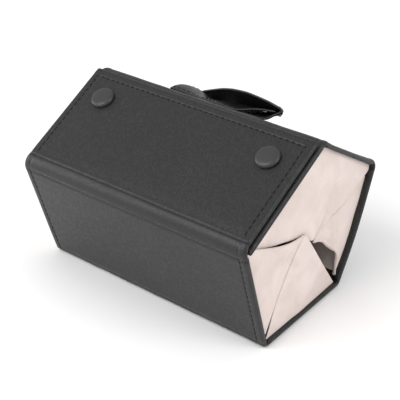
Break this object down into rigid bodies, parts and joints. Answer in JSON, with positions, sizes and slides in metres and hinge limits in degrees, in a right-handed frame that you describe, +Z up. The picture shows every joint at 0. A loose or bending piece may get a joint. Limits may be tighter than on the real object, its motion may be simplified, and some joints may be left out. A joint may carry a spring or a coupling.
{
  "type": "folding jewelry box",
  "caption": "Roll-up jewelry box: stiff leather-covered panels folded into a five-sided prism, cloth end gussets, divider lids, snap flap and strap handle.",
  "frame": {"origin": "centre of the bottom panel's underside, where the closed box stands", "axes": "+X along the prism, +Z up, -Y the front with the snap flap"},
  "size_m": [0.167, 0.1381, 0.1145],
  "materials": {
    "black_leather": "fine grained, semi matt",
    "suede_cloth": "brushed suede cloth",
    "greyboard": "pressed greyboard",
    "snap_cap": "satin black paint",
    "snap_metal": "plated brass"
  },
  "bodies": {
    "case": {"back_board": "greyboard", "back_cover": "black_leather", "back_gusset_left": "suede_cloth", "back_gusset_right": "suede_cloth", "back_lining": "suede_cloth", "bottom_board": "greyboard", "bottom_cover": "black_leather", "bottom_gusset_left": "suede_cloth", "bottom_gusset_right": "suede_cloth", "bottom_lining": "suede_cloth", "fold_bottom_back": "black_leather", "fold_bottom_front": "black_leather", "fold_top_back": "black_leather", "fold_top_front": "black_leather", "inner_front_board": "greyboard", "inner_front_cover": "black_leather", "inner_front_gusset_left": "suede_cloth", "inner_front_gusset_right": "suede_cloth", "inner_front_lining": "suede_cloth", "snap_posts": "snap_metal", "snap_studs": "snap_metal", "strap_end": "black_leather", "top_board": "greyboard", "top_cover": "black_leather", "top_gusset_left": "suede_cloth", "top_gusset_right": "suede_cloth", "top_lining": "suede_cloth"},
    "front": {"front_cover": "black_leather", "front_board": "greyboard", "front_lining": "suede_cloth", "fold_flap": "black_leather", "front_gusset_left": "suede_cloth", "front_gusset_right": "suede_cloth"},
    "flap": {"flap_cover": "black_leather", "flap_board": "greyboard", "flap_lining": "suede_cloth", "snap_caps": "snap_cap", "snap_sockets": "snap_metal"},
    "front_lid": {"front_lid_cloth": "suede_cloth", "front_lid_board": "greyboard"},
    "bottom_lid": {"bottom_lid_cloth": "suede_cloth", "bottom_lid_board": "greyboard"},
    "back_lid": {"back_lid_cloth": "suede_cloth", "back_lid_board": "greyboard"},
    "top_lid": {"top_lid_cloth": "suede_cloth", "top_lid_board": "greyboard"},
    "inner_front_lid": {"inner_front_lid_cloth": "suede_cloth", "inner_front_lid_board": "greyboard"},
    "handle": {"strap_loop": "black_leather"}
  },
  "joints": [
    {"name": "front_hinge", "type": "hinge", "parent": "case", "child": "front", "pos_m": [0, -0.039, 0.00175], "axis": [1, 0, 0], "range_deg": [0, 73.5]},
    {"name": "flap_hinge", "type": "hinge", "parent": "front", "child": "flap", "pos_m": [0, -0.06115, 0.07654], "axis": [1, 0, 0], "range_deg": [0, 78.23]},
    {"name": "front_lid_hinge", "type": "hinge", "parent": "front", "child": "front_lid", "pos_m": [0, -0.03758, 0.00947], "axis": [1, 0, 0], "range_deg": [0, 57.13]},
    {"name": "bottom_lid_hinge", "type": "hinge", "parent": "case", "child": "bottom_lid", "pos_m": [0, 0.032, 0.0053], "axis": [1, 0, 0], "range_deg": [0, 56.58]},
    {"name": "back_lid_hinge", "type": "hinge", "parent": "case", "child": "back_lid", "pos_m": [0, 0.06716, 0.06702], "axis": [1, 0, 0], "range_deg": [0, 48.33]},
    {"name": "top_lid_hinge", "type": "hinge", "parent": "case", "child": "top_lid", "pos_m": [0, 0.01592, 0.10397], "axis": [1, 0, 0], "range_deg": [0, 67.86]},
    {"name": "inner_front_lid_hinge", "type": "hinge", "parent": "case", "child": "inner_front_lid", "pos_m": [0, -0.052, 0.07232], "axis": [1, 0, 0], "range_deg": [0, 44.26]},
    {"name": "handle_hinge", "type": "hinge", "parent": "case", "child": "handle", "pos_m": [-0.022, 0.04457, 0.09422], "axis": [0, -0.8448, 0.5351], "range_deg": [0, 90]}
  ]
}
